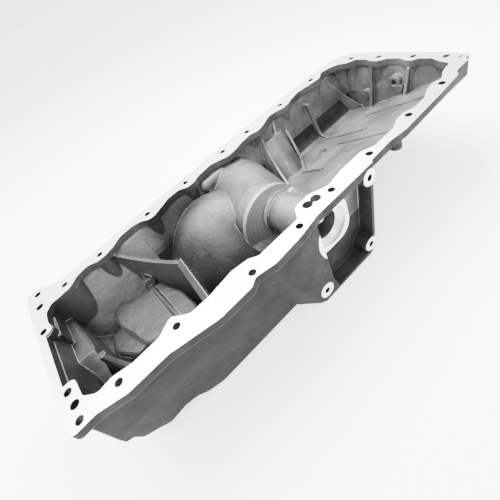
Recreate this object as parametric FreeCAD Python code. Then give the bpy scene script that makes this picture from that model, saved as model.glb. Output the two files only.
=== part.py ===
import FreeCAD, Part
import math
import os

Vec = FreeCAD.Vector

# Sizes in millimetres. The drawing datum is the corner bolt hole of the near side at the front end,
# on the machined joint face: +X runs to the gearbox end, +Y to the far side, +Z up out of the joint.
joint_z = 0.0
flange_thickness = 10.0
wall = 5.5
bolt_hole_radius = 4.5
dowel_hole_radius = 5.0
dowel_hole_depth = 8.0
dowel_near = (0.5, 18.2)
dowel_far = (-0.4, 187.3)

front_x = 0.0
near_y = -5.0
far_y = 194.0
rear_x = 588.0
sump_rear_x = 154.0
well_floor_end_x = 215.0
sump_bottom_z = -130.0
step_bottom_z = -100.0
nose_bottom_z = -64.0
fold_z = -50.0
lip_depth = 12.0
column_radius = 10.5
column_depth = 50.0
front_lip_x = -10.5
outer_well_x = 302.0

near_floor_z = -22.0
far_floor_z = -78.0
floor_near_y = 12.0
floor_far_y = 150.0

tube_x = 304.0
tube_z = -46.0
tube_lean = -0.12
tube_bore_radius = 19.0
seal_seat_radius = 26.0
seal_seat_depth = 9.0
tunnel_x = 283.0
tunnel_z = -50.0
collar_y = 72.0
collar_radius = 46.0
hump_near_radius = 45.0
hump_far_radius = 50.0
hump_far_x = 306.0
hump_far_z = -60.0
hump_length = 100.0

dome_x = 235.0
dome_y = 147.0
dome_z = -208.0
dome_radius = 113.6
dome_half_height = 195.5
side_well_end_x = 296.0
side_well_end_y = 72.0

mount_front_y = -20.0
mount_back_y = 0.0
mount_boss_radius = 10.0
mount_hole_radius = 4.2
mount_hole_depth = 26.0
mount_top_right = (363.0, -16.0)
mount_low_right = (348.0, -112.0)
mount_low_left = (262.0, -112.0)
mount_bottom_z = -124.0

drain_x = 132.0
drain_y = 28.0
drain_thread_radius = 6.0
drain_boss_radius = 14.0

# Bolt holes as (x, y), each side in order from the front end to the gearbox end.
near_bolts = [(0.0, 0.0), (-1.8, 36.2), (41.3, 0.8), (108.4, 2.5), (192.3, -15.0), (260.4, -13.9),
              (316.9, -8.0), (381.7, -8.0), (457.5, -6.4), (526.2, -6.4)]
far_bolts = [(2.2, 214.5), (-5.4, 139.1), (36.8, 191.2), (91.8, 194.7), (173.4, 198.5), (243.4, 199.5),
             (318.1, 201.4), (369.0, 201.8), (442.6, 201.8), (516.2, 201.8)]
rear_bolts = [(590.0, 23.7), (590.0, 70.3), (589.1, 125.6), (584.0, 173.3)]
small_hole = (589.2, 5.3)
small_hole_radius = 2.5
under_bosses = [(424.0, -11.0, -21.0), (458.0, -8.0, -14.0), (526.0, -7.0, -13.0)]
oil_passage = [(288.1, 0.2), (299.6, -1.0)]
oil_passage_radius = 6.2
oil_passage_depth = 14.0


def rounded_wire(corners, place):
    """Closed wire through corners (u, v, radius), each corner turned by an arc of its radius."""
    count = len(corners)
    arcs = []
    for index in range(count):
        before = corners[index - 1]
        here = corners[index]
        after = corners[(index + 1) % count]
        in_u = before[0] - here[0]
        in_v = before[1] - here[1]
        out_u = after[0] - here[0]
        out_v = after[1] - here[1]
        in_len = math.hypot(in_u, in_v)
        out_len = math.hypot(out_u, out_v)
        in_u = in_u / in_len
        in_v = in_v / in_len
        out_u = out_u / out_len
        out_v = out_v / out_len
        cosine = max(-1.0, min(1.0, in_u * out_u + in_v * out_v))
        half = math.acos(cosine) / 2.0
        if here[2] <= 0.0 or half > math.radians(89.0):
            arcs.append([(here[0], here[1])])
            continue
        reach = min(here[2] / math.tan(half), 0.46 * in_len, 0.46 * out_len)
        radius = reach * math.tan(half)
        start = (here[0] + in_u * reach, here[1] + in_v * reach)
        end = (here[0] + out_u * reach, here[1] + out_v * reach)
        mid_u = in_u + out_u
        mid_v = in_v + out_v
        mid_len = math.hypot(mid_u, mid_v)
        dist = radius / math.sin(half) - radius
        middle = (here[0] + mid_u / mid_len * dist, here[1] + mid_v / mid_len * dist)
        arcs.append([start, middle, end])
    edges = []
    for index in range(count):
        this = arcs[index]
        following = arcs[(index + 1) % count]
        if len(this) == 3:
            edges.append(Part.Arc(place(*this[0]), place(*this[1]), place(*this[2])).toShape())
        a = place(*this[-1])
        b = place(*following[0])
        if a.distanceToPoint(b) > 1e-4:
            edges.append(Part.LineSegment(a, b).toShape())
    return Part.Wire(edges)


def plan_prism(corners, low_z, high_z):
    wire = rounded_wire(corners, lambda u, v: Vec(u, v, low_z))
    return Part.Face(wire).extrude(Vec(0, 0, high_z - low_z))


def side_prism(corners, low_y, high_y):
    wire = rounded_wire(corners, lambda u, v: Vec(u, low_y, v))
    return Part.Face(wire).extrude(Vec(0, high_y - low_y, 0))


def end_prism(corners, low_x, high_x):
    wire = rounded_wire(corners, lambda u, v: Vec(low_x, u, v))
    return Part.Face(wire).extrude(Vec(high_x - low_x, 0, 0))


def rod_y(x, z, radius, low_y, high_y):
    return Part.makeCylinder(radius, high_y - low_y, Vec(x, low_y, z), Vec(0, 1, 0))


def rod_z(x, y, radius, low_z, high_z):
    return Part.makeCylinder(radius, high_z - low_z, Vec(x, y, low_z), Vec(0, 0, 1))


def box(low, high):
    return Part.makeBox(high[0] - low[0], high[1] - low[1], high[2] - low[2], Vec(*low))


def strip(a, b, thickness, low_z, top_a, top_b, sag):
    """Upright web from a to b in plan, its top edge going from top_a to top_b with a sag between."""
    length = math.hypot(b[0] - a[0], b[1] - a[1])
    along = Vec((b[0] - a[0]) / length, (b[1] - a[1]) / length, 0)
    across = Vec(-along.y, along.x, 0)
    base = Vec(a[0], a[1], 0) - across * (thickness / 2.0)
    p0 = base + Vec(0, 0, low_z)
    p1 = base + Vec(0, 0, top_a)
    pm = base + along * (length / 2.0) + Vec(0, 0, (top_a + top_b) / 2.0 - sag)
    p2 = base + along * length + Vec(0, 0, top_b)
    p3 = base + along * length + Vec(0, 0, low_z)
    if abs(sag) > 0.01:
        top = Part.Arc(p1, pm, p2).toShape()
    else:
        top = Part.LineSegment(p1, p2).toShape()
    edges = [Part.LineSegment(p0, p1).toShape(), top, Part.LineSegment(p2, p3).toShape(),
             Part.LineSegment(p3, p0).toShape()]
    return Part.Face(Part.Wire(edges)).extrude(across * thickness)


def sloped_wall(a, b, thickness, low_z, left_top, right_top):
    """Upright wall from a to b in plan whose top slopes across it, from its left side to its right."""
    length = math.hypot(b[0] - a[0], b[1] - a[1])
    along = Vec((b[0] - a[0]) / length, (b[1] - a[1]) / length, 0)
    left = Vec(-along.y, along.x, 0) * (thickness / 2.0)
    start = Vec(a[0], a[1], 0)
    section = [start + left + Vec(0, 0, low_z), start + left + Vec(0, 0, left_top),
               start - left + Vec(0, 0, right_top), start - left + Vec(0, 0, low_z)]
    return Part.Face(Part.makePolygon(section + section[:1])).extrude(along * length)


def capsule_x(low_x, high_x, y, z, radius):
    """Round bar along X with ball ends."""
    bar = Part.makeCylinder(radius, high_x - low_x, Vec(low_x, y, z), Vec(1, 0, 0))
    return bar.fuse([Part.makeSphere(radius, Vec(low_x, y, z)), Part.makeSphere(radius, Vec(high_x, y, z))])


# Outline of the joint flange, outer edge, as (x, y, corner radius).
flange_outer = [(-13, -9, 8), (14, -8, 12), (44, -16, 20), (88, -16, 25), (141, -28, 20), (181, -28, 8),
                (190, -22, 8), (214, -27.5, 12), (252, -25, 20), (281, -20, 20), (323, -20, 20),
                (351, -18, 20), (408, -16, 20), (432, -20, 12), (509, -17.5, 20), (547, -15, 8),
                (556, -7, 8), (567, -8, 8), (578, -3, 4), (595, -4, 4), (601, 40, 20), (603, 128, 30),
                (598, 186, 14), (584, 206, 12), (530, 216, 20), (442, 216.5, 30), (318, 215.5, 30),
                (243, 214, 30), (173, 212.5, 30), (92, 209, 30), (40, 207, 20), (18, 212, 8),
                (13, 225, 9), (-8, 226, 9), (-14, 212, 8), (-14, 130, 10), (-14, 50, 10)]

# Mouth of the cavity at the joint face: straight stretches between the lobes round the bolt holes.
mouth = [(-5, 47, 3), (8, 45, 6), (9, 19, 9), (22, 9, 8), (38, 11.5, 12), (60, 6.5, 20), (90, 7, 14),
         (109, 17, 6), (125, 2, 10), (150, 1.5, 30), (181, 5.5, 12), (201, 2, 8), (210, -5, 7),
         (267, -5, 6), (278, 10, 8), (300, 10.5, 9), (321, -0.5, 12), (347, 3.5, 20), (381, 3.5, 10),
         (396, -5, 10), (430, -5, 15), (447, 1.5, 10), (462, 1.5, 8), (472, -4.5, 9), (494, -4, 14),
         (511, 3.5, 8), (526, 4.5, 8), (537, -0.5, 8), (549, 6, 10), (562, 9, 12), (573, 9, 8),
         (577, 26, 12), (585, 40, 12), (585, 57, 8), (579, 66, 6), (579, 76, 6), (585, 88, 8),
         (584, 108, 8), (577, 120, 6), (577, 132, 6), (582, 143, 8), (581, 162, 8), (570, 172, 8),
         (566, 186, 10), (553, 195, 12), (538, 200, 10), (524, 189, 9), (508, 192, 10), (480, 198, 24),
         (458, 193.5, 15), (449, 189, 8), (436, 189, 8), (424, 195, 12), (411, 196.5, 12), (391, 187, 12),
         (378, 184, 10), (364, 189.5, 10), (345, 187.5, 12), (327, 182, 12), (312, 182, 10),
         (288, 194.5, 14), (262, 191.5, 18), (250, 185.5, 9), (239, 185.5, 9), (229, 195, 10),
         (209, 196, 14), (190, 188, 12), (178, 183.5, 9), (169, 184, 9), (160, 194, 9), (146, 199, 14),
         (125, 197.5, 14), (112, 189, 10), (97, 184, 10), (85, 184.5, 10), (71, 192, 13), (54, 189, 13),
         (41, 178, 10), (26, 176.5, 10), (12, 176, 10), (4, 166, 9), (2.5, 150, 9), (5, 133, 6),
         (-5, 130, 3)]


def sump_volume(grow, end_x):
    """Deep front well: the room inside when grow is 0, its outside when grow is the wall."""
    side = [(front_x + wall - grow, 12, 0), (front_x + wall - grow, nose_bottom_z + wall - grow, 4),
            (10 - 0.6 * grow, nose_bottom_z + wall - grow - 3, 4), (14 - 0.8 * grow, -78 - 0.6 * grow, 5),
            (24 - 0.3 * grow, -88 - 0.6 * grow, 8), (34, step_bottom_z + wall - grow - 1.5, 6),
            (56, step_bottom_z + wall - grow + 1.5, 10), (70, step_bottom_z + wall - grow - 3, 8),
            (84 - 0.3 * grow, -110 - grow, 12), (110 - 0.4 * grow, sump_bottom_z + wall + 3 - grow, 10),
            (124, sump_bottom_z + wall - grow, 12), (end_x - wall + grow, sump_bottom_z + wall - grow, 12),
            (end_x - wall + grow + 2, 12, 0)]
    end = [(near_y + wall - grow, 12, 0), (near_y + wall - grow, fold_z, 25),
           (near_y + wall + 11 - grow, sump_bottom_z + wall - grow, 9),
           (158 + grow, sump_bottom_z + wall - grow, 20), (168 + grow, -80, 30),
           (182 + grow, -45, 30), (198 + grow, -8, 12), (199 + grow, 12, 0)]
    plan = [(front_x - 20, near_y - 20, 0), (end_x + 20, near_y - 20, 0), (end_x + 20, far_y + 20, 0),
            (62, far_y + 20, 0), (46, 178 + grow, 20), (12, 176 + grow, 20), (front_x - 20, 176 + grow, 0)]
    body = side_prism(side, near_y - 20, far_y + 20).common(end_prism(end, front_x - 20, end_x + 20))
    return body.common(plan_prism(plan, sump_bottom_z - 10, 12))


def rear_volume(grow):
    """Long shallow part: its floor falls from the near side to the far side."""
    start = sump_rear_x - 8
    end = [(near_y + 2 - grow, 12, 0), (near_y + 2 - grow, near_floor_z + 4 - grow, 8),
           (floor_near_y - 0.4 * grow, near_floor_z - grow, 16),
           (floor_far_y - 0.4 * grow, far_floor_z - grow, 24), (176 + grow, far_floor_z - 1 - grow, 16),
           (184 + grow, -45, 30), (198 + grow, -8, 12), (199 + grow, 12, 0)]
    plan = [(start, near_y - 12, 0), (rear_x - wall - 8 + grow, near_y - 12, 0),
            (rear_x - wall + 3 + grow, 20, 14), (rear_x - wall + 3 + grow, 165, 16),
            (562 + grow, 203, 20), (start, far_y + 12, 0)]
    side = [(start - 4, 14, 0), (start - 4, sump_bottom_z - 10, 0), (568 + grow, sump_bottom_z - 10, 0),
            (574 + grow, far_floor_z, 0), (578 + grow, -40, 30), (586 + grow, -8, 10), (586 + grow, 14, 0)]
    body = end_prism(end, start, rear_x + 20).common(plan_prism(plan, sump_bottom_z - 12, 13))
    return body.common(side_prism(side, near_y - 20, far_y + 20))


def dome(inset):
    """Tall round body turned about an upright line; only its upper part is inside the pan."""
    centre = Vec(dome_x, dome_y, dome_z)
    top = Vec(0, 0, dome_half_height - inset)
    side = Vec(dome_radius - inset, 0, 0)
    curve = Part.Ellipse(centre + top, centre + side, centre)
    quarter = Part.Edge(Part.ArcOfEllipse(curve, 0, math.pi / 2))
    down = Part.LineSegment(centre + side, centre).toShape()
    back = Part.LineSegment(centre, centre + top).toShape()
    return Part.Face(Part.Wire([quarter, down, back])).revolve(centre, Vec(0, 0, 1), 360)


def hump(inset, low_y, high_y):
    """Round housing of the drive shaft that widens towards the far wall."""
    lead = 12.0
    along = Vec(hump_far_x - tunnel_x, hump_length, hump_far_z - tunnel_z)
    start = Vec(tunnel_x, collar_y, tunnel_z) + along * (lead / hump_length)
    cone = Part.makeCone(hump_near_radius - inset, hump_far_radius - inset, along.Length * 1.3, start, along)
    front = rod_y(tunnel_x, tunnel_z, hump_near_radius - inset, collar_y, collar_y + 2 * lead)
    limits = box((tunnel_x - 120, low_y, sump_bottom_z), (tunnel_x + 140, high_y, -4))
    return cone.fuse(front).common(limits)


def soft_block(corners, top_z, round_over):
    """Low mass on the well's floor with a rounded rim round its top."""
    block = plan_prism(corners, sump_bottom_z + 3, top_z)
    rim = [edge for edge in block.Edges if edge.BoundBox.ZMin > top_z - 0.01]
    return block.makeFillet(round_over, rim)


# Shell: flange, the lip that follows the lobes of the mouth, and the deeper bodies under it.
flange = plan_prism(flange_outer, -flange_thickness, joint_z)
head_room = box((-60, -60, joint_z), (660, 260, 40))
mouth_face = Part.Face(rounded_wire(mouth, lambda u, v: Vec(u, v, 0)))
lip_room = mouth_face.extrude(Vec(0, 0, -lip_depth))
front_rake = side_prism([(front_lip_x, 0, 0), (front_lip_x, -12, 6), (1, -52, 0), (8, -52, 0), (8, 0, 0)],
                        34, 144)
front_rake_room = side_prism([(front_lip_x + wall, 2, 0), (front_lip_x + wall, -10, 6),
                              (front_x + wall, -48, 0), (10, -48, 0), (10, 2, 0)], 46, 131)

sump_outer = sump_volume(wall, outer_well_x)
rear_outer = rear_volume(wall)
near_top = rounded_wire([(184, -4, 6), (206, mount_front_y, 10), (268, mount_front_y, 0), (268, 6, 0),
                         (184, 6, 0)], lambda u, v: Vec(u, v, -4))
near_foot = rounded_wire([(226, 9, 6), (250, mount_front_y, 10), (268, mount_front_y, 0), (268, 12, 0),
                          (226, 12, 0)], lambda u, v: Vec(u, v, sump_bottom_z + 4))
near_bulge = Part.makeLoft([near_top, near_foot], True, True)

# Mount on the near wall: a back panel with a thin rim, thick on its left side.
plate = side_prism([(236, 0, 0), (240, sump_bottom_z, 0), (352, sump_bottom_z, 8), (360, -90, 20),
                    (374, 0, 0)], mount_back_y, mount_back_y + 6)
mount_frame = side_prism([(244, 0, 0), (252, sump_bottom_z + 1, 6), (350, sump_bottom_z + 1.5, 10),
                          (358.5, -98, 16), (371, 0, 0)], mount_front_y, mount_back_y + 3)
mount_room = side_prism([(276, -12, 6), (276, -104, 5), (282, -125, 4), (346, -124.5, 8), (354.5, -98, 14),
                         (365.5, -11, 5), (320, -10.5, 0), (282, -10.5, 4)], mount_front_y - 1, mount_back_y)
under_rib = side_prism([(150, -60, 0), (150, sump_bottom_z, 0), (336, sump_bottom_z, 10),
                        (376, -60, 0)], 148, 154)
cross_rib = end_prism([(3, -20, 0), (3, sump_bottom_z, 0), (30, sump_bottom_z, 6), (120, -60, 20),
                       (120, -20, 0)], 352, 358)
corner_ear = plan_prism([(572, -3, 3), (594, -4, 4), (597, 14, 6), (574, 16, 4)], -19, -5)

outer = sump_outer.fuse([rear_outer, front_rake, near_bulge, plate, mount_frame, under_rib, cross_rib,
                         corner_ear])
outer = outer.cut(head_room)
housing = hump(0.0, collar_y, far_y + 8)
tube = Part.makeCone(30.0, 25.0, collar_y + 4, Vec(tube_x, 0, tube_z), Vec(tube_lean, 1, 0))
casting = flange.fuse([outer, housing])

side_well = plan_prism([(130, near_y - 4, 0), (130, 100, 0), (200, 100, 0), (244, 92, 4),
                        (250, side_well_end_y, 0), (side_well_end_x, side_well_end_y, 0),
                        (side_well_end_x, mount_back_y + 6, 0), (236, mount_back_y + 6, 0),
                        (230, near_y - 4, 0)], sump_bottom_z, -flange_thickness)
side_well = side_well.common(sump_volume(0.0, side_well_end_x + 2 * wall))
room = sump_volume(0.0, well_floor_end_x).fuse([rear_volume(0.0), side_well])
room = room.cut(box((-60, -60, -flange_thickness), (660, 260, 40)))
casting = casting.cut(room.fuse([lip_room, front_rake_room]))
casting = casting.cut(mount_room)

# The dome beside the tunnel and the tunnel itself are dry inside and open from below.
dome_body = dome(0.0).common(box((150, 20, sump_bottom_z), (330, 200, -4)))
dome_hollow = dome(wall).common(box((sump_rear_x + 2, 20, -140), (side_well_end_x, 158, -4)))
tunnel_hollow = hump(6.0, collar_y + 6, far_y - 6)
collar = rod_y(tunnel_x, tunnel_z, collar_radius, collar_y, collar_y + 6)
collar_step = Part.makeCylinder(29.0, 5, Vec(tube_x + tube_lean * (collar_y - 4), collar_y - 4, tube_z),
                                Vec(tube_lean, 1, 0))
shoulder = side_prism([(300, -54, 0), (300, -27, 0), (322, -27, 20), (350, -46, 8), (354, -54, 0)],
                      mount_back_y + 2, collar_y)
bore = Part.makeCylinder(tube_bore_radius, far_y + 60, Vec(tube_x - 30 * tube_lean, -30, tube_z),
                         Vec(tube_lean, 1, 0))
seat_mouth_y = mount_back_y - 6
seal_seat = rod_y(tube_x, tube_z, seal_seat_radius, mount_front_y - 4, seat_mouth_y + seal_seat_depth)
seat_pad = side_prism([(271, -14, 14), (335, -14, 22), (335, -76, 22), (271, -76, 22)],
                      seat_mouth_y, mount_back_y + 4)

# Webs, masses and the suction gallery of the front well.
rim_wall = sloped_wall((143, 0), (156, 99), 8.0, sump_bottom_z + 4, -24, -17)
web = strip((156, 99), (103, 192), 4.5, -126, -21, -8, 5.0)
corner_web = strip((27, 80), (60, 2), 3.5, -100, -37, -4, 2.0)
corner_boss = rod_z(26, 82, 4.5, -100, -33)
mound = soft_block([(64, 72, 16), (58, 104, 60), (50, 130, 40), (50, 162, 14), (66, 173, 12),
                    (80, 156, 14), (110, 156, 4), (110, 72, 4)], -62, 3.9)
side_mound = soft_block([(115, 60, 4), (138, 60, 12), (136, 104, 40), (124, 146, 8), (115, 150, 3)],
                        -61, 2.9)
low_mound = soft_block([(24, 122, 6), (30, 146, 10), (48, 154, 10), (62, 130, 10), (66, 94, 8), (46, 92, 8)],
                       -80, 2.9)
wall_swelling = capsule_x(264, 297, 189, -20, 9.0)
gallery = Part.makeCylinder(5.0, 124, Vec(112, 56, -64), Vec(0, 1, 0))
gallery_boss = rod_y(113, -56, 7.5, 150, 184)

front_step = soft_block([(-2, 56, 0), (12, 56, 3), (20, 82, 30), (23, 106, 30), (20, 134, 30), (11, 186, 4),
                         (-2, 186, 0)], -33, 4.5)
step_slope = end_prism([(40, sump_bottom_z, 0), (40, -92, 0), (98, -32.5, 0), (200, -32.5, 0),
                        (200, sump_bottom_z, 0)], -4, 40)
front_step = front_step.common(step_slope)

# Buttress on the far wall beside the tunnel, with its stiffening ribs.
buttress_foot = rounded_wire([(352, 214, 0), (358, 142, 16), (382, 112, 16), (410, 142, 16), (436, 214, 0)],
                             lambda u, v: Vec(u, v, -86))
buttress_head = rounded_wire([(374, 214, 0), (377, 192, 10), (394, 178, 10), (417, 182, 10), (431, 214, 0)],
                             lambda u, v: Vec(u, v, -25))
buttress = Part.makeLoft([buttress_foot, buttress_head], True, True)
buttress_edge = strip((352, 118), (384, 197), 3.5, -88, -63, -8, 14.0)
buttress_rib = strip((413, 150), (434, 198), 3.5, -86, -70, -24, 0.0)
buttress_toe = strip((386, 117), (414, 152), 3.5, -86, -61, -72, -2.0)
buttress_web = strip((404, 182), (424, 206), 3.5, -60, -27, -2, 0.0)

ribs = []
rail_height = 3.0
slope = (far_floor_z - near_floor_z) / (floor_far_y - floor_near_y)
for rail_x, rail_start, rail_end in [(384, 76, 120), (453, 10, 106), (481, 76, 150), (534, 10, 116)]:
    z_start = near_floor_z + slope * (rail_start - floor_near_y)
    z_end = near_floor_z + slope * (rail_end - floor_near_y)
    rail = end_prism([(rail_start, z_start - 3, 0), (rail_start, z_start + rail_height, 1),
                      (rail_end, z_end + rail_height, 1), (rail_end, z_end - 3, 0)],
                     rail_x - 2.0, rail_x + 2.0)
    ribs.append(rail)
ribs.append(end_prism([(150, -84, 0), (150, -75, 0), (170, -74, 14), (182, -20, 0), (204, -20, 0),
                       (204, -84, 0)], 479, 483))
ribs.append(strip((543, 196), (576, 154), 3.5, -84, -14, -77, 4.0))
ribs.append(Part.makeCone(10.0, 2.0, 13.0, Vec(436, 124, -72), Vec(0, 0, 1)))
for rib_y, rib_low, rib_depth in [(71.0, -46, 15), (133.0, -74, 15)]:
    gusset = side_prism([(rear_x, -8, 0), (rear_x - 10, -10, 3), (rear_x - 14, rib_low / 2, 30),
                         (rear_x - rib_depth - 8, rib_low - 2, 0), (rear_x, rib_low - 2, 0)],
                        rib_y - 2.0, rib_y + 2.0)
    ribs.append(gusset)
rear_boss_x = rear_x - 16
for boss_y, boss_z, boss_radius in [(91.0, -30.0, 9.0), (84.0, -39.0, 6.0), (143.0, -52.0, 7.0)]:
    ribs.append(Part.makeCylinder(boss_radius, 16, Vec(rear_boss_x, boss_y, boss_z), Vec(1, 0, 0)))

# Round columns under the lobes carry the bolts down to the outside of the leaning walls.
columns = []
for x, y in far_bolts + rear_bolts:
    columns.append(rod_z(x, y, column_radius, -column_depth, -2))

well_parts = [front_step, corner_web, corner_boss, low_mound]
middle_parts = [dome_body, tube, housing, collar, collar_step, shoulder, rim_wall, web, mound, side_mound,
                gallery, gallery_boss, wall_swelling]
rear_parts = [buttress, buttress_edge, buttress_rib, buttress_toe, buttress_web] + ribs + columns
envelope = outer.fuse([flange, housing, tube])
casting = casting.fuse(well_parts[0].fuse(well_parts[1:]).common(sump_outer.cut(head_room)))
casting = casting.fuse(middle_parts[0].fuse(middle_parts[1:]).common(envelope))
casting = casting.fuse(rear_parts[0].fuse(rear_parts[1:]).common(envelope))

# Bosses of the mount on the near wall, and the pad round the seal seat.
mount_points = [mount_top_right, mount_low_right, mount_low_left]
for bx, by, bz in under_bosses:
    casting = casting.fuse(rod_z(bx, by, 7.0, bz, -2))
casting = casting.cut(rod_y(tube_x, tube_z, seal_seat_radius + 8, mount_front_y - 4, mount_back_y - 0.5)
                      .common(box((276, mount_front_y - 4, -90), (340, 0, -10.5))))
for mx, mz in mount_points:
    casting = casting.fuse(rod_y(mx, mz, mount_boss_radius, mount_front_y, mount_back_y + 6))
casting = casting.fuse(seat_pad.common(box((262, -10, -90), (345, 10, -10.5))))

# Cast pads round the oil passage, and the drain boss on the underside.
passage_pad = rod_z(oil_passage[0][0], oil_passage[0][1] - 2, 12, -oil_passage_depth - 5, -1)
casting = casting.fuse(passage_pad.common(box((200, -14, -60), (400, 40, 0))))
casting = casting.fuse(rod_z(drain_x, drain_y, drain_boss_radius, sump_bottom_z, -112))

# Openings: machined bores, bolt holes and passages, and the hollows of the underside.
cuts = [dome_hollow, tunnel_hollow, bore, seal_seat]
for x, y in near_bolts + far_bolts + rear_bolts:
    cuts.append(rod_z(x, y, bolt_hole_radius, -column_depth - 2, 5))
for x, y in [dowel_near, dowel_far]:
    cuts.append(rod_z(x, y, dowel_hole_radius, -dowel_hole_depth, 5))
cuts.append(rod_z(small_hole[0], small_hole[1], small_hole_radius, -60, 5))
for x, y in oil_passage:
    cuts.append(rod_z(x, y, oil_passage_radius, -oil_passage_depth, 5))
for mx, mz in mount_points:
    cuts.append(rod_y(mx, mz, mount_hole_radius, mount_front_y - 2, mount_front_y + mount_hole_depth))
cuts.append(rod_z(drain_x, drain_y, drain_thread_radius, sump_bottom_z - 5, -100))
cuts.append(Part.makeCylinder(4.5, 8, Vec(rear_boss_x - 1, 91, -30), Vec(1, 0, 0)))
casting = casting.cut(cuts[0].fuse(cuts[1:]))

# Slivers left where round surfaces graze each other are dropped.
casting = max(casting.Solids, key=lambda solid: solid.Volume)
print("faces", len(casting.Faces), "valid", casting.isValid(), "volume cm3", casting.Volume / 1000.0)
os.makedirs("parts", exist_ok=True)
casting.translate(Vec(-dowel_near[0], -dowel_near[1], 0))
casting.exportStep("parts/pan_casting.step")
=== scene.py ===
import math

import bpy
from mathutils import Matrix, Vector


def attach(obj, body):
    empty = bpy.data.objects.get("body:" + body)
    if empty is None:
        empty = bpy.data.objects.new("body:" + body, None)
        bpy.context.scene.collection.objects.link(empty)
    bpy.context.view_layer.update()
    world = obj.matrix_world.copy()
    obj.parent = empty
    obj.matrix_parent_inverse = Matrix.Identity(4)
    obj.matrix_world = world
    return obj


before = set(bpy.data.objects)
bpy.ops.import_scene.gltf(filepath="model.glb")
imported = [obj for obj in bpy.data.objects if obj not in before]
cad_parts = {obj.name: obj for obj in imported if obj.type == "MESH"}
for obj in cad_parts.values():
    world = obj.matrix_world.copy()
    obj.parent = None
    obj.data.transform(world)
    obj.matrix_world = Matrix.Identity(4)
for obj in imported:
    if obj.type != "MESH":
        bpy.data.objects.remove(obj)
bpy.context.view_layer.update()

MM = 0.001

# Places on the casting, in metres from the near dowel hole on the joint face.
JOINT_Z = 0.0
JOINT_SLACK = 0.4 * MM
FLOOR_Z = -130.0 * MM
MOUNT_FACE_Y = -38.2 * MM
MOUNT_SLACK = 0.6 * MM
MOUNT_BOSSES = ((362.5 * MM, -16.0 * MM), (347.5 * MM, -112.0 * MM), (261.5 * MM, -112.0 * MM))
MOUNT_FACE_RADIUS = 10.6 * MM
BORE_X = 303.5 * MM
BORE_Z = -46.0 * MM
BORE_RADIUS = 26.5 * MM
BORE_SEAT_END_Y = -14.9 * MM
BORE_FACE_Y = -24.2 * MM
BORE_FACE_DEPTH = 12.0 * MM
BORE_FACE_RADIUS = 34.0 * MM
COLLAR_X = 282.5 * MM
COLLAR_Y = 54.0 * MM
COLLAR_Z = -50.0 * MM
COLLAR_RADIUS = 46.5 * MM
COLLAR_HALF_DEPTH = 7.0 * MM

# Middle planes of the outer walls, which part the outside, darkened with painted shade and grime, from the
# inside.
FOLD_Z = -50.0 * MM
NEAR_WALL_Y = -20.6 * MM
NEAR_WALL_LEAN = 0.147
FAR_WALL_Y = 152.5 * MM
FAR_BREAK_Z = -80.0 * MM
FAR_TOP_LEAN = 0.417
FAR_FOOT_LEAN = 0.22

# Beyond these places a face that looks outwards is outer skin too.
FAR_SKIN_Y = 118.0 * MM
FRONT_SKIN_X = 8.0 * MM
REAR_SKIN_X = 560.0 * MM

# Where the front well begins and ends, and where the painted shade over the dome and front well fades out
# before the tunnel and rear floor.
WELL_FRONT_X = 38.0 * MM
WELL_CLEAR_X = 145.0 * MM
WELL_END_X = 172.0 * MM
SHADE_FADE_FROM_X = 215.0 * MM
SHADE_FADE_TO_X = 262.0 * MM
SHADE_FADE_SHIFT_PER_Z = 0.3

# Least share of a normal along an axis, for cut faces and for outer skin, and the range for flat tops.
FACES_STRAIGHT = 0.9
FACES_OUT = 0.5
FLAT_FROM = 0.55
FLAT_TO = 0.9

# Colours of the metal, the marks on it, and the painted shade and painted light laid over it.
DARK_SKIN = (0.036, 0.036, 0.035, 1.0)
PALE_SKIN = (0.095, 0.095, 0.0925, 1.0)
SMEAR_COLOUR = (0.17, 0.17, 0.166, 1.0)
GRAIN_COLOUR = (0.12, 0.12, 0.117, 1.0)
SPECK_COLOUR = (0.03, 0.03, 0.029, 1.0)
PAINTED_SHADE = (0.018, 0.018, 0.0175, 1.0)
WALL_PAINTED_LIGHT = (0.20, 0.20, 0.195, 1.0)
PAINTED_LIGHT_GREY = (0.42, 0.42, 0.41, 1.0)
CUT_DULL = (0.86, 0.86, 0.85, 1.0)
CUT_PALE = (0.93, 0.93, 0.92, 1.0)

# Noises: scale, detail and roughness.
BLOTCH_NOISE = (22.0, 3.0, 0.55)
SMEAR_NOISE = (75.0, 4.0, 0.65)
GRAIN_NOISE = (420.0, 3.0, 0.6)
SPECK_NOISE = (700.0, 2.0, 0.5)
GRIME_AND_SHADE_NOISE = (34.0, 4.0, 0.62)
CUT_NOISE = (60.0, 2.0, 0.5)
PIT_NOISE = (650.0, 3.0, 0.6)
WAVE_NOISE = (60.0, 3.0, 0.6)

# From where to where in its noise each mark fades in.
BLOTCH_RANGE = (0.35, 0.65)
SMEAR_RANGE = (0.52, 0.72)
SPECK_RANGE = (0.58, 0.7)
GRIME_AND_SHADE_RANGE = (0.36, 0.62)
DULL_RANGE = (0.25, 0.75)

# How strongly each mark, painted shade and painted light covers the skin below it.
SMEAR_SHARE = 0.4
GRAIN_SHARE = 0.45
SPECK_SHARE = 0.6
FRONT_SHADE_SHARE = 0.62
FLAT_SHADE_SHARE = 0.7
WALL_LIGHT_SHARE = 0.65
GRIME_AND_SHADE_LEAST = 0.68
GRIME_AND_SHADE_MOST = 0.97
COLLAR_LIGHT_SHARE = 0.5
TURNED_SHARE = 0.2
EDGE_HIGHLIGHT_SHARE = 0.6
EDGE_HIGHLIGHT_LESS_OUTSIDE = -0.35

# Turned rings on the collar and cutter arcs on the machined faces.
TURNED_SCALE = 55.0
TURNED_DISTORTION = 1.5
ARC_SCALE = 260.0
ARC_DISTORTION = 0.6

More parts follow.
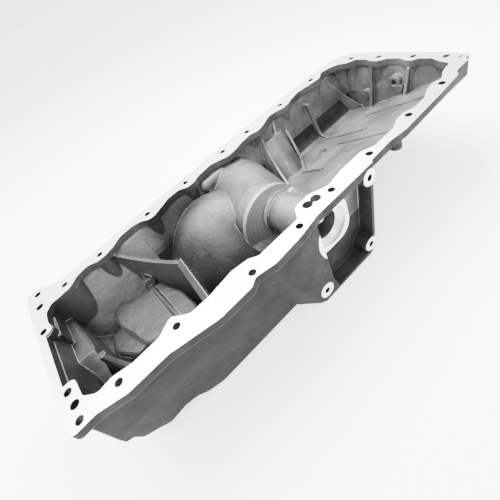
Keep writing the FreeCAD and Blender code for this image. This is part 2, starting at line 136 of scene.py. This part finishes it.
# Radii of the softened edges, and the alignment of true and softened normal where an edge gets a painted
# highlight.
EDGE_HIGHLIGHT_RADIUS = 1.3 * MM
CAST_RADIUS = 2.2 * MM
CUT_RADIUS = 0.4 * MM
CAST_SAMPLES = 6
CUT_SAMPLES = 4
EDGE_HIGHLIGHT_FROM = 0.72
EDGE_HIGHLIGHT_TO = 0.97

# How deep the relief of the skin and of the cutter is.
PIT_DEPTH = 0.16 * MM
WAVE_DEPTH = 1.1 * MM
ARC_DEPTH = 0.01 * MM

# Roughness from the smoothest skin to the dull outside, and how metallic the surface is.
SKIN_SMOOTH = 0.42
SKIN_DULL = 0.55
OUTSIDE_DULLER = 0.28
CUT_ROUGHNESS = 0.34
METAL_LEAST = 0.5
METAL_MORE = 0.35

# Small cast forms at the far wall: a swelling in the corner, and a boss round the shaft bore's end, whose
# profile is a ring of radii and y places.
SHARP_ANGLE = math.radians(24.0)
CORNER_PLACE = (265.5 * MM, 167.3 * MM, -29.5 * MM)
CORNER_RADII = (8.5 * MM, 8.0 * MM, 8.5 * MM)
CORNER_SEGMENTS = 32
CORNER_RINGS = 20
EXIT_X_AT_ZERO = 301.3 * MM
EXIT_LEAN = -0.12
EXIT_PROFILE = ((18.8 * MM, 158.0 * MM), (24.5 * MM, 158.0 * MM), (24.5 * MM, 183.4 * MM),
                (23.3 * MM, 184.6 * MM), (20.0 * MM, 184.6 * MM), (18.8 * MM, 183.4 * MM))
EXIT_STEPS = 72
EXIT_SHARP_ANGLE = math.radians(30.0)

# The floor: a little below the pan, pale, dull and faintly lit from within.
FLOOR_SIZE = 80.0
FLOOR_MIDDLE = (0.3, 0.1)
FLOOR_GAP = 0.3 * MM
FLOOR_COLOUR = (0.93, 0.93, 0.93, 1.0)
WHITE = (1.0, 1.0, 1.0, 1.0)
FLOOR_GLOW = 1.8
FLOOR_ROUGHNESS = 0.9
FLOOR_SPECULAR = 0.1

# The sky: its strength at the floor's edge, above the viewer and above the far side. It changes between
# these heights, and between these y directions from the viewer to the far side.
SKY_EDGE = 4.0
SKY_NEAR = 3.0
SKY_FAR = 2.6
SKY_LOW = 0.05
SKY_HIGH = 0.2
SKY_VIEWER_SIDE = -0.45
SKY_FAR_SIDE = 0.35

# Soft lights: name, place, target, side length and watts.
LIGHTS = (
    ("overhead_softbox", (-0.05, 0.75, 1.5), (0.3, 0.1, -0.05), 1.1, 140.0),
    ("front_fill", (0.0, -0.45, 1.15), (0.15, 0.08, -0.08), 0.7, 18.0),
    ("rear_softbox", (0.62, 0.42, 0.62), (0.4, 0.08, -0.06), 0.42, 26.0),
)

# The camera, solved from the photograph, looks down on the pan from its final-drive side.
CAMERA_PLACE = (0.12562, -0.24323, 0.23114)
CAMERA_RIGHT = (0.70727126, -0.60864741, -0.35960492)
CAMERA_UP = (0.66209458, 0.39200733, 0.63871826)
CAMERA_BACK = (-0.24778644, -0.68983954, 0.68023767)
CAMERA_LENS = 24.14
CAMERA_NEAREST = 0.01
SENSOR_WIDTH = 36.0


class Nodes:
    """Short ways to add and join the nodes of one tree."""

    def __init__(self, tree):
        self.tree = tree
        self.tree.nodes.clear()

    def add(self, kind, **values):
        node = self.tree.nodes.new(kind)
        for key, value in values.items():
            setattr(node, key, value)
        return node

    def join(self, source, target):
        self.tree.links.new(source, target)

    def feed(self, socket, value):
        if isinstance(value, bpy.types.NodeSocket):
            self.join(value, socket)
        else:
            socket.default_value = value

    def fill(self, node, **values):
        """Set or join the inputs of a node, named with _ for a space."""
        for name, value in values.items():
            self.feed(node.inputs[name.replace("_", " ")], value)

    def math(self, operation, first, second=0.0, third=0.0):
        node = self.add("ShaderNodeMath", operation=operation)
        for socket, value in zip(node.inputs, (first, second, third)):
            self.feed(socket, value)
        return node.outputs[0]

    def times(self, first, second):
        return self.math("MULTIPLY", first, second)

    def without(self, mask):
        return self.math("SUBTRACT", 1.0, mask)

    def either(self, first, *others):
        for other in others:
            first = self.math("MAXIMUM", first, other)
        return first

    def ramp(self, value, low, high, low_out=0.0, high_out=1.0):
        node = self.add("ShaderNodeMapRange", interpolation_type="SMOOTHSTEP")
        self.fill(node, Value=value, From_Min=low, From_Max=high, To_Min=low_out, To_Max=high_out)
        return node.outputs["Result"]

    def noise(self, place, kind):
        scale, detail, roughness = kind
        node = self.add("ShaderNodeTexNoise")
        self.fill(node, Vector=place, Scale=scale, Detail=detail, Roughness=roughness)
        return node.outputs["Fac"]

    def rings(self, place, axis, scale, distortion):
        node = self.add("ShaderNodeTexWave", wave_type="RINGS", rings_direction=axis)
        self.fill(node, Vector=place, Scale=scale, Distortion=distortion)
        return node.outputs["Fac"]

    def mix(self, kind, factor, first, second):
        node = self.add("ShaderNodeMix", data_type=kind)
        self.fill(node, Factor=factor, A=first, B=second)
        return node.outputs["Result"]

    def blend(self, factor, first, second):
        return self.mix("RGBA", factor, first, second)

    def soft_edges(self, radius, samples):
        node = self.add("ShaderNodeBevel", samples=samples)
        self.fill(node, Radius=radius)
        return node.outputs["Normal"]

    def bump(self, height, distance, normal):
        node = self.add("ShaderNodeBump")
        self.fill(node, Distance=distance, Height=height, Normal=normal)
        return node.outputs["Normal"]


class Surface:
    """What the masks read at each point of the casting: its place and the direction it faces."""

    def __init__(self, nodes):
        self.place = nodes.add("ShaderNodeTexCoord").outputs["Object"]
        self.normal = nodes.add("ShaderNodeNewGeometry").outputs["Normal"]
        self.x, self.y, self.z = self.split(nodes, self.place)
        self.facing_x, self.facing_y, self.facing_z = self.split(nodes, self.normal)

    @staticmethod
    def split(nodes, vector):
        node = nodes.add("ShaderNodeSeparateXYZ")
        nodes.join(vector, node.inputs[0])
        return node.outputs


def new_material(name):
    material = bpy.data.materials.new(name)
    material.use_nodes = True
    return material, Nodes(material.node_tree)


def disc_mask(nodes, at, centre, radius):
    """1 inside a circle of that centre and radius, seen along y."""
    side = nodes.math("SUBTRACT", at.x, centre[0])
    rise = nodes.math("SUBTRACT", at.z, centre[1])
    squares = nodes.math("ADD", nodes.times(side, side), nodes.times(rise, rise))
    return nodes.math("LESS_THAN", squares, radius * radius)


def machined_mask(nodes, at):
    """1 on the joint face, the mount's boss ends, the ring round the bore and the seal seat in it."""
    faces_up = nodes.math("GREATER_THAN", at.facing_z, FACES_STRAIGHT)
    joint = nodes.times(nodes.math("GREATER_THAN", at.z, JOINT_Z - JOINT_SLACK), faces_up)
    faces_near = nodes.math("LESS_THAN", at.facing_y, -FACES_STRAIGHT)
    discs = [disc_mask(nodes, at, centre, MOUNT_FACE_RADIUS) for centre in MOUNT_BOSSES]
    boss_ends = nodes.times(nodes.either(*discs), nodes.math("LESS_THAN", at.y, MOUNT_FACE_Y + MOUNT_SLACK))
    ring = disc_mask(nodes, at, (BORE_X, BORE_Z), BORE_FACE_RADIUS)
    ring = nodes.times(ring, nodes.math("LESS_THAN", at.y, BORE_FACE_Y + BORE_FACE_DEPTH))
    near_faces = nodes.times(nodes.either(boss_ends, ring), faces_near)
    seat = disc_mask(nodes, at, (BORE_X, BORE_Z), BORE_RADIUS)
    seat = nodes.times(seat, nodes.math("LESS_THAN", at.y, BORE_SEAT_END_Y))
    return nodes.either(joint, near_faces, seat)


def outside_mask(nodes, at):
    """1 on the outer skin: beyond the middle planes of the walls, or at an end and facing outwards."""
    below_fold = nodes.math("MAXIMUM", nodes.math("SUBTRACT", FOLD_Z, at.z), 0.0)
    near_limit = nodes.math("MULTIPLY_ADD", below_fold, NEAR_WALL_LEAN, NEAR_WALL_Y)
    near = nodes.math("LESS_THAN", at.y, near_limit)
    above_break = nodes.math("SUBTRACT", at.z, FAR_BREAK_Z)
    far_lean = nodes.math("MAXIMUM", nodes.times(above_break, FAR_TOP_LEAN),
                          nodes.times(above_break, FAR_FOOT_LEAN))
    far = nodes.math("GREATER_THAN", at.y, nodes.math("ADD", far_lean, FAR_WALL_Y))
    far_face = nodes.times(nodes.math("GREATER_THAN", at.facing_y, FACES_OUT),
                           nodes.math("GREATER_THAN", at.y, FAR_SKIN_Y))
    front_face = nodes.times(nodes.math("LESS_THAN", at.facing_x, -FACES_OUT),
                             nodes.math("LESS_THAN", at.x, FRONT_SKIN_X))
    rear_face = nodes.times(nodes.math("GREATER_THAN", at.facing_x, FACES_OUT),
                            nodes.math("GREATER_THAN", at.x, REAR_SKIN_X))
    return nodes.either(near, far, far_face, front_face, rear_face)


def collar_mask(nodes, at):
    """1 on the flat ring round the tube, where the tunnel starts."""
    disc = disc_mask(nodes, at, (COLLAR_X, COLLAR_Z), COLLAR_RADIUS)
    return nodes.times(disc, nodes.math("COMPARE", at.y, COLLAR_Y, COLLAR_HALF_DEPTH))


def front_shade_mask(nodes, at):
    """Painted shade: 0 over the tunnel and the sloping floor, rising to 1 over the dome and the front well.
    """
    along = nodes.math("MULTIPLY_ADD", at.z, SHADE_FADE_SHIFT_PER_Z, at.x)
    return nodes.without(nodes.ramp(along, SHADE_FADE_FROM_X, SHADE_FADE_TO_X))


def cast_skin(nodes, at, blotches, front_shade):
    """Grey skin with soft blotches, pale smears, grain and dark specks, darkened with painted shade over
    the dome and the front well.
    """
    skin = nodes.blend(nodes.ramp(blotches, *BLOTCH_RANGE), DARK_SKIN, PALE_SKIN)
    smears = nodes.ramp(nodes.noise(at.place, SMEAR_NOISE), *SMEAR_RANGE)
    skin = nodes.blend(nodes.times(smears, SMEAR_SHARE), skin, SMEAR_COLOUR)
    skin = nodes.blend(nodes.times(nodes.noise(at.place, GRAIN_NOISE), GRAIN_SHARE), skin, GRAIN_COLOUR)
    specks = nodes.ramp(nodes.noise(at.place, SPECK_NOISE), *SPECK_RANGE)
    skin = nodes.blend(nodes.times(specks, SPECK_SHARE), skin, SPECK_COLOUR)
    return nodes.blend(nodes.times(front_shade, FRONT_SHADE_SHARE), skin, PAINTED_SHADE)


def light_collar_and_turn_rings(nodes, at, skin):
    """Painted light on the collar's flat ring, with bright rings round the tube's axis left on it by
    turning.
    """
    offset = nodes.add("ShaderNodeVectorMath", operation="SUBTRACT")
    nodes.join(at.place, offset.inputs[0])
    offset.inputs[1].default_value = (COLLAR_X, 0.0, COLLAR_Z)
    rings = nodes.rings(offset.outputs["Vector"], "Y", TURNED_SCALE, TURNED_DISTORTION)
    marks = nodes.math("MULTIPLY_ADD", rings, TURNED_SHARE, COLLAR_LIGHT_SHARE)
    return nodes.blend(nodes.times(collar_mask(nodes, at), marks), skin, PAINTED_LIGHT_GREY)


def paint_front_well_light_and_shade(nodes, at, skin, outside):
    """In the front well, painted shade darkens what lies flat, and painted light brightens the upright
    walls.
    """
    in_well = nodes.ramp(at.x, WELL_CLEAR_X, WELL_END_X, 1.0, 0.0)
    flat = nodes.ramp(at.facing_z, FLAT_FROM, FLAT_TO)
    skin = nodes.blend(nodes.times(nodes.times(in_well, flat), FLAT_SHADE_SHARE), skin, PAINTED_SHADE)
    upright = nodes.times(in_well, nodes.without(nodes.either(flat, outside)))
    upright = nodes.times(upright, nodes.ramp(at.x, FRONT_SKIN_X, WELL_FRONT_X))
    return nodes.blend(nodes.times(upright, WALL_LIGHT_SHARE), skin, WALL_PAINTED_LIGHT)


def paint_edge_highlights(nodes, at, skin, outside):
    """Painted highlights along the edges: where the softened normal leaves the true one."""
    compare = nodes.add("ShaderNodeVectorMath", operation="DOT_PRODUCT")
    nodes.join(nodes.soft_edges(EDGE_HIGHLIGHT_RADIUS, CAST_SAMPLES), compare.inputs[0])
    nodes.join(at.normal, compare.inputs[1])
    edge_highlight = nodes.ramp(compare.outputs["Value"], EDGE_HIGHLIGHT_FROM, EDGE_HIGHLIGHT_TO, 1.0, 0.0)
    share = nodes.math("MULTIPLY_ADD", outside, EDGE_HIGHLIGHT_LESS_OUTSIDE, EDGE_HIGHLIGHT_SHARE)
    return nodes.blend(nodes.times(edge_highlight, share), skin, PAINTED_LIGHT_GREY)


def surface_relief(nodes, at, machined):
    """Pitted, wavy skin over rounded casting edges, and fine cutter arcs on the machined faces."""
    cast_edges = nodes.soft_edges(CAST_RADIUS, CAST_SAMPLES)
    pits = nodes.bump(nodes.noise(at.place, PIT_NOISE), PIT_DEPTH, cast_edges)
    waves = nodes.bump(nodes.noise(at.place, WAVE_NOISE), WAVE_DEPTH, pits)
    arcs = nodes.rings(at.place, "Z", ARC_SCALE, ARC_DISTORTION)
    cutter = nodes.bump(arcs, ARC_DEPTH, nodes.soft_edges(CUT_RADIUS, CUT_SAMPLES))
    return nodes.mix("VECTOR", machined, waves, cutter)


def cast_and_machined():
    """As-cast aluminium skin, with the faces that a cutter has touched found by place and direction."""
    material, nodes = new_material("cast_aluminium_skin")
    at = Surface(nodes)
    machined = machined_mask(nodes, at)
    outside = outside_mask(nodes, at)
    # Painted shade over the dome and the front well, fading out towards the tunnel.
    front_shade = front_shade_mask(nodes, at)
    blotches = nodes.noise(at.place, BLOTCH_NOISE)

    skin = cast_skin(nodes, at, blotches, front_shade)
    skin = light_collar_and_turn_rings(nodes, at, skin)
    skin = paint_front_well_light_and_shade(nodes, at, skin, outside)
    # The outer skin is darkened with painted shade, varied by a grime noise.
    grime_and_shade = nodes.ramp(nodes.noise(at.place, GRIME_AND_SHADE_NOISE), *GRIME_AND_SHADE_RANGE, GRIME_AND_SHADE_LEAST, GRIME_AND_SHADE_MOST)
    skin = nodes.blend(nodes.times(outside, grime_and_shade), skin, PAINTED_SHADE)
    skin = paint_edge_highlights(nodes, at, skin, outside)
    cut = nodes.blend(nodes.noise(at.place, CUT_NOISE), CUT_DULL, CUT_PALE)

    dull = nodes.ramp(blotches, *DULL_RANGE, SKIN_SMOOTH, SKIN_DULL)
    dull = nodes.math("MULTIPLY_ADD", outside, OUTSIDE_DULLER, dull)
    metal = nodes.math("MULTIPLY_ADD", nodes.either(machined, outside, front_shade), METAL_MORE, METAL_LEAST)
    shader = nodes.add("ShaderNodeBsdfPrincipled")
    nodes.fill(shader, Metallic=metal, Base_Color=nodes.blend(machined, skin, cut),
               Roughness=nodes.mix("FLOAT", machined, dull, CUT_ROUGHNESS),
               Normal=surface_relief(nodes, at, machined))
    nodes.join(shader.outputs[0], nodes.add("ShaderNodeOutputMaterial").inputs["Surface"])
    return material


def floor_material():
    material, nodes = new_material("pale_floor")
    shader = nodes.add("ShaderNodeBsdfPrincipled")
    nodes.fill(shader, Base_Color=FLOOR_COLOUR, Emission_Color=WHITE, Emission_Strength=FLOOR_GLOW,
               Roughness=FLOOR_ROUGHNESS, Specular_IOR_Level=FLOOR_SPECULAR)
    nodes.join(shader.outputs[0], nodes.add("ShaderNodeOutputMaterial").inputs["Surface"])
    return material


def smooth_faces(mesh, sharp_angle):
    mesh.polygons.foreach_set("use_smooth", [True] * len(mesh.polygons))
    mesh.set_sharp_from_angle(angle=sharp_angle)


def dress_casting(skin):
    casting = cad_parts["pan_casting"].data
    casting.materials.clear()
    casting.materials.append(skin)
    smooth_faces(casting, SHARP_ANGLE)


def close_wall_corner(skin):
    """Small cast swelling where the dome, the tunnel and the far wall meet: it closes the corner."""
    bpy.ops.mesh.primitive_uv_sphere_add(segments=CORNER_SEGMENTS, ring_count=CORNER_RINGS, radius=1.0,
                                         location=CORNER_PLACE)
    swelling = bpy.context.object
    swelling.name = "wall_corner_swelling"
    swelling.scale = CORNER_RADII
    bpy.ops.object.transform_apply(location=False, rotation=False, scale=True)
    bpy.ops.object.shade_smooth()
    swelling.data.materials.append(skin)
    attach(swelling, "root")


def ring_shaft_exit(skin):
    """Cast boss round the end of the shaft bore, where the bore meets the far wall and the housing."""
    corners = []
    faces = []
    count = len(EXIT_PROFILE)
    for step in range(EXIT_STEPS):
        turn = 2.0 * math.pi * step / EXIT_STEPS
        here = step * count
        ahead = (step + 1) % EXIT_STEPS * count
        for place, (radius, far) in enumerate(EXIT_PROFILE):
            middle = EXIT_X_AT_ZERO + EXIT_LEAN * far
            corners.append((middle + radius * math.cos(turn), far, BORE_Z + radius * math.sin(turn)))
            following = (place + 1) % count
            faces.append((here + place, here + following, ahead + following, ahead + place))
    shape = bpy.data.meshes.new("shaft_exit_boss")
    shape.from_pydata(corners, [], faces)
    smooth_faces(shape, EXIT_SHARP_ANGLE)
    shape.materials.append(skin)
    boss = bpy.data.objects.new("shaft_exit_boss", shape)
    bpy.context.scene.collection.objects.link(boss)
    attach(boss, "root")


def lay_floor():
    bpy.ops.mesh.primitive_plane_add(size=FLOOR_SIZE, location=(*FLOOR_MIDDLE, FLOOR_Z - FLOOR_GAP))
    floor = bpy.context.object
    floor.name = "floor"
    floor.data.materials.append(floor_material())


def add_light(name, place, target, size, watts):
    """A square soft light at place, turned to face target."""
    light = bpy.data.lights.new(name, "AREA")
    light.shape = "SQUARE"
    light.size = size
    light.energy = watts
    lamp = bpy.data.objects.new(name, light)
    lamp.location = place
    lamp.rotation_euler = (Vector(target) - Vector(place)).to_track_quat("-Z", "Y").to_euler()
    bpy.context.scene.collection.objects.link(lamp)


def studio_sky():
    """One strength at the height of the floor's edge, another above the viewer and above the far side."""
    world = bpy.data.worlds.new("studio")
    world.use_nodes = True
    nodes = Nodes(world.node_tree)
    direction = Surface.split(nodes, nodes.add("ShaderNodeTexCoord").outputs["Generated"])
    above = nodes.ramp(direction["Y"], SKY_VIEWER_SIDE, SKY_FAR_SIDE, SKY_NEAR, SKY_FAR)
    strength = nodes.mix("FLOAT", nodes.ramp(direction["Z"], SKY_LOW, SKY_HIGH), SKY_EDGE, above)
    backdrop = nodes.add("ShaderNodeBackground")
    nodes.fill(backdrop, Color=WHITE, Strength=strength)
    nodes.join(backdrop.outputs[0], nodes.add("ShaderNodeOutputWorld").inputs["Surface"])
    bpy.context.scene.world = world


def place_camera():
    data = bpy.data.cameras.new("camera")
    data.lens = CAMERA_LENS
    data.sensor_width = SENSOR_WIDTH
    data.clip_start = CAMERA_NEAREST
    camera = bpy.data.objects.new("camera", data)
    turn = Matrix((CAMERA_RIGHT, CAMERA_UP, CAMERA_BACK)).transposed().to_4x4()
    camera.matrix_world = Matrix.Translation(CAMERA_PLACE) @ turn
    bpy.context.scene.collection.objects.link(camera)
    bpy.context.scene.camera = camera


cast_metal = cast_and_machined()
dress_casting(cast_metal)
close_wall_corner(cast_metal)
ring_shaft_exit(cast_metal)
lay_floor()
studio_sky()
for light_row in LIGHTS:
    add_light(*light_row)
place_camera()
